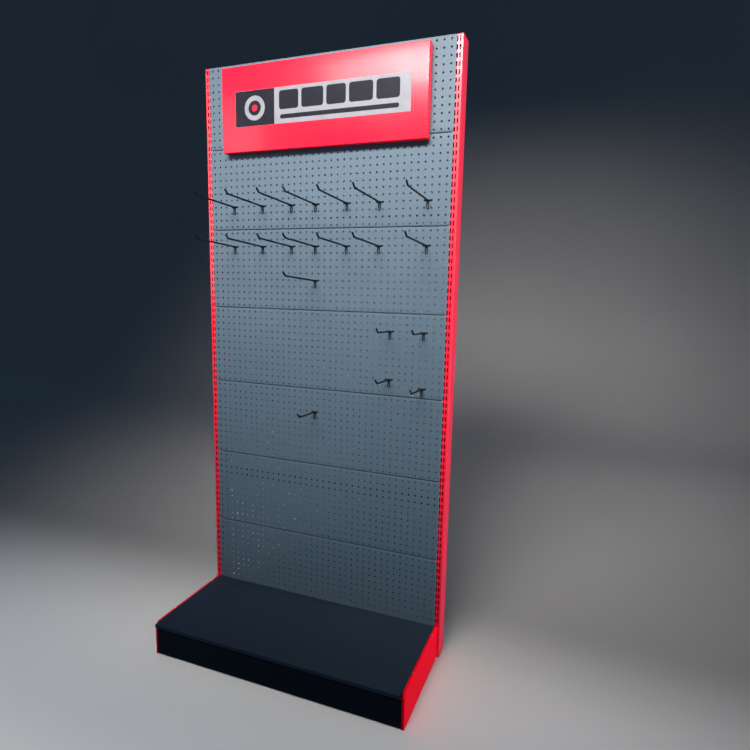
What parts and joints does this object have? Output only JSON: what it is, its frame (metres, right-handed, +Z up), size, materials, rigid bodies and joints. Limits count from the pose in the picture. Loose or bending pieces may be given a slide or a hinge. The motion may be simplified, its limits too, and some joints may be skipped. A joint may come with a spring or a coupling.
{
  "type": "pegboard display stand",
  "caption": "Free-standing slotted-upright display stand with perforated steel back panels, wire hooks, a base shelf with kick plate, and a hung sign tray.",
  "frame": {"origin": "middle of the footprint, on the floor", "axes": "+X to the right of someone facing the stand, -Y out of its front, +Z up"},
  "size_m": [1, 0.473, 2.19],
  "materials": {
    "red_powder_coat": "gloss powder coat",
    "slate_powder_coat": "satin powder coat",
    "black_powder_coat": "satin powder coat",
    "black_wire_coat": "satin dipped coat",
    "zinc_plated_steel": "bright zinc plate",
    "red_plastic": "moulded, fine grain",
    "printed_label": "printed sheet"
  },
  "bodies": {
    "frame": {"upright_left": "red_powder_coat", "upright_cap_left": "red_plastic", "base_bracket_left": "red_powder_coat", "bracket_screw_front_left": "zinc_plated_steel", "bracket_screw_rear_left": "zinc_plated_steel", "sign_hanger_left": "zinc_plated_steel", "rail_bolt_upper_left": "zinc_plated_steel", "rail_bolt_lower_left": "zinc_plated_steel", "rail_bolt_bottom_left": "zinc_plated_steel", "upright_right": "red_powder_coat", "upright_cap_right": "red_plastic", "base_bracket_right": "red_powder_coat", "bracket_screw_front_right": "zinc_plated_steel", "bracket_screw_rear_right": "zinc_plated_steel", "sign_hanger_right": "zinc_plated_steel", "rail_bolt_upper_right": "zinc_plated_steel", "rail_bolt_lower_right": "zinc_plated_steel", "rail_bolt_bottom_right": "zinc_plated_steel", "back_panel_1": "slate_powder_coat", "back_panel_2": "slate_powder_coat", "back_panel_3": "slate_powder_coat", "back_panel_4": "slate_powder_coat", "back_panel_5": "slate_powder_coat", "back_panel_6": "slate_powder_coat", "back_panel_7": "slate_powder_coat", "cross_rail_upper": "black_powder_coat", "cross_rail_lower": "black_powder_coat", "cross_rail_bottom": "black_powder_coat"},
    "sign": {"sign_tray": "red_powder_coat", "sign_label": "printed_label"},
    "shelf": {"base_shelf": "black_powder_coat", "shelf_stiffener": "black_powder_coat"},
    "kick": {"kick_plate": "black_powder_coat"},
    "foot_front_left_body": {"foot_front_left": "zinc_plated_steel"},
    "foot_front_right_body": {"foot_front_right": "zinc_plated_steel"},
    "foot_rear_left_body": {"foot_rear_left": "zinc_plated_steel"},
    "foot_rear_right_body": {"foot_rear_right": "zinc_plated_steel"},
    "long_hook_01_body": {"long_hook_01": "black_wire_coat"},
    "long_hook_02_body": {"long_hook_02": "black_wire_coat"},
    "long_hook_03_body": {"long_hook_03": "black_wire_coat"},
    "long_hook_04_body": {"long_hook_04": "black_wire_coat"},
    "long_hook_05_body": {"long_hook_05": "black_wire_coat"},
    "long_hook_06_body": {"long_hook_06": "black_wire_coat"},
    "long_hook_07_body": {"long_hook_07": "black_wire_coat"},
    "long_hook_08_body": {"long_hook_08": "black_wire_coat"},
    "long_hook_09_body": {"long_hook_09": "black_wire_coat"},
    "long_hook_10_body": {"long_hook_10": "black_wire_coat"},
    "long_hook_11_body": {"long_hook_11": "black_wire_coat"},
    "long_hook_12_body": {"long_hook_12": "black_wire_coat"},
    "long_hook_13_body": {"long_hook_13": "black_wire_coat"},
    "long_hook_14_body": {"long_hook_14": "black_wire_coat"},
    "long_hook_15_body": {"long_hook_15": "black_wire_coat"},
    "short_hook_01_body": {"short_hook_01": "black_wire_coat"},
    "short_hook_02_body": {"short_hook_02": "black_wire_coat"},
    "short_hook_03_body": {"short_hook_03": "black_wire_coat"},
    "short_hook_04_body": {"short_hook_04": "black_wire_coat"},
    "short_hook_05_body": {"short_hook_05": "black_wire_coat"}
  },
  "joints": [
    {"name": "sign_lift", "type": "slide", "parent": "frame", "child": "sign", "axis": [0, 0, 1], "range_m": [0, 0.012]},
    {"name": "shelf_lift", "type": "slide", "parent": "frame", "child": "shelf", "axis": [0, 0, 1], "range_m": [0, 0.1]},
    {"name": "kick_pull", "type": "slide", "parent": "frame", "child": "kick", "axis": [0, -1, 0], "range_m": [0, 0.05]},
    {"name": "foot_front_left_screw", "type": "slide", "parent": "frame", "child": "foot_front_left_body", "axis": [0, 0, -1], "range_m": [0, 0.012]},
    {"name": "foot_front_right_screw", "type": "slide", "parent": "frame", "child": "foot_front_right_body", "axis": [0, 0, -1], "range_m": [0, 0.012]},
    {"name": "foot_rear_left_screw", "type": "slide", "parent": "frame", "child": "foot_rear_left_body", "axis": [0, 0, -1], "range_m": [0, 0.012]},
    {"name": "foot_rear_right_screw", "type": "slide", "parent": "frame", "child": "foot_rear_right_body", "axis": [0, 0, -1], "range_m": [0, 0.012]},
    {"name": "long_hook_01_tilt", "type": "hinge", "parent": "frame", "child": "long_hook_01_body", "pos_m": [-0.375, 0.164, 1.6775], "axis": [-1, 0, 0], "range_deg": [0, 20]},
    {"name": "long_hook_02_tilt", "type": "hinge", "parent": "frame", "child": "long_hook_02_body", "pos_m": [-0.25, 0.164, 1.6775], "axis": [-1, 0, 0], "range_deg": [0, 20]},
    {"name": "long_hook_03_tilt", "type": "hinge", "parent": "frame", "child": "long_hook_03_body", "pos_m": [-0.125, 0.164, 1.6775], "axis": [-1, 0, 0], "range_deg": [0, 20]},
    {"name": "long_hook_04_tilt", "type": "hinge", "parent": "frame", "child": "long_hook_04_body", "pos_m": [-0.025, 0.164, 1.6775], "axis": [-1, 0, 0], "range_deg": [0, 20]},
    {"name": "long_hook_05_tilt", "type": "hinge", "parent": "frame", "child": "long_hook_05_body", "pos_m": [0.1, 0.164, 1.6775], "axis": [-1, 0, 0], "range_deg": [0, 20]},
    {"name": "long_hook_06_tilt", "type": "hinge", "parent": "frame", "child": "long_hook_06_body", "pos_m": [0.225, 0.164, 1.6775], "axis": [-1, 0, 0], "range_deg": [0, 20]},
    {"name": "long_hook_07_tilt", "type": "hinge", "parent": "frame", "child": "long_hook_07_body", "pos_m": [0.4, 0.164, 1.6775], "axis": [-1, 0, 0], "range_deg": [0, 20]},
    {"name": "long_hook_08_tilt", "type": "hinge", "parent": "frame", "child": "long_hook_08_body", "pos_m": [-0.375, 0.164, 1.5275], "axis": [-1, 0, 0], "range_deg": [0, 20]},
    {"name": "long_hook_09_tilt", "type": "hinge", "parent": "frame", "child": "long_hook_09_body", "pos_m": [-0.25, 0.164, 1.5275], "axis": [-1, 0, 0], "range_deg": [0, 20]},
    {"name": "long_hook_10_tilt", "type": "hinge", "parent": "frame", "child": "long_hook_10_body", "pos_m": [-0.125, 0.164, 1.5275], "axis": [-1, 0, 0], "range_deg": [0, 20]},
    {"name": "long_hook_11_tilt", "type": "hinge", "parent": "frame", "child": "long_hook_11_body", "pos_m": [-0.025, 0.164, 1.5275], "axis": [-1, 0, 0], "range_deg": [0, 20]},
    {"name": "long_hook_12_tilt", "type": "hinge", "parent": "frame", "child": "long_hook_12_body", "pos_m": [0.1, 0.164, 1.5275], "axis": [-1, 0, 0], "range_deg": [0, 20]},
    {"name": "long_hook_13_tilt", "type": "hinge", "parent": "frame", "child": "long_hook_13_body", "pos_m": [0.225, 0.164, 1.5275], "axis": [-1, 0, 0], "range_deg": [0, 20]},
    {"name": "long_hook_14_tilt", "type": "hinge", "parent": "frame", "child": "long_hook_14_body", "pos_m": [0.4, 0.164, 1.5275], "axis": [-1, 0, 0], "range_deg": [0, 20]},
    {"name": "long_hook_15_tilt", "type": "hinge", "parent": "frame", "child": "long_hook_15_body", "pos_m": [-0.025, 0.164, 1.4025], "axis": [-1, 0, 0], "range_deg": [0, 20]},
    {"name": "short_hook_01_tilt", "type": "hinge", "parent": "frame", "child": "short_hook_01_body", "pos_m": [0.275, 0.164, 1.2275], "axis": [-1, 0, 0], "range_deg": [0, 20]},
    {"name": "short_hook_02_tilt", "type": "hinge", "parent": "frame", "child": "short_hook_02_body", "pos_m": [0.4, 0.164, 1.2275], "axis": [-1, 0, 0], "range_deg": [0, 20]},
    {"name": "short_hook_03_tilt", "type": "hinge", "parent": "frame", "child": "short_hook_03_body", "pos_m": [0.275, 0.164, 1.0525], "axis": [-1, 0, 0], "range_deg": [0, 20]},
    {"name": "short_hook_04_tilt", "type": "hinge", "parent": "frame", "child": "short_hook_04_body", "pos_m": [0.4, 0.164, 1.0275], "axis": [-1, 0, 0], "range_deg": [0, 20]},
    {"name": "short_hook_05_tilt", "type": "hinge", "parent": "frame", "child": "short_hook_05_body", "pos_m": [-0.025, 0.164, 0.9025], "axis": [-1, 0, 0], "range_deg": [0, 20]}
  ]
}
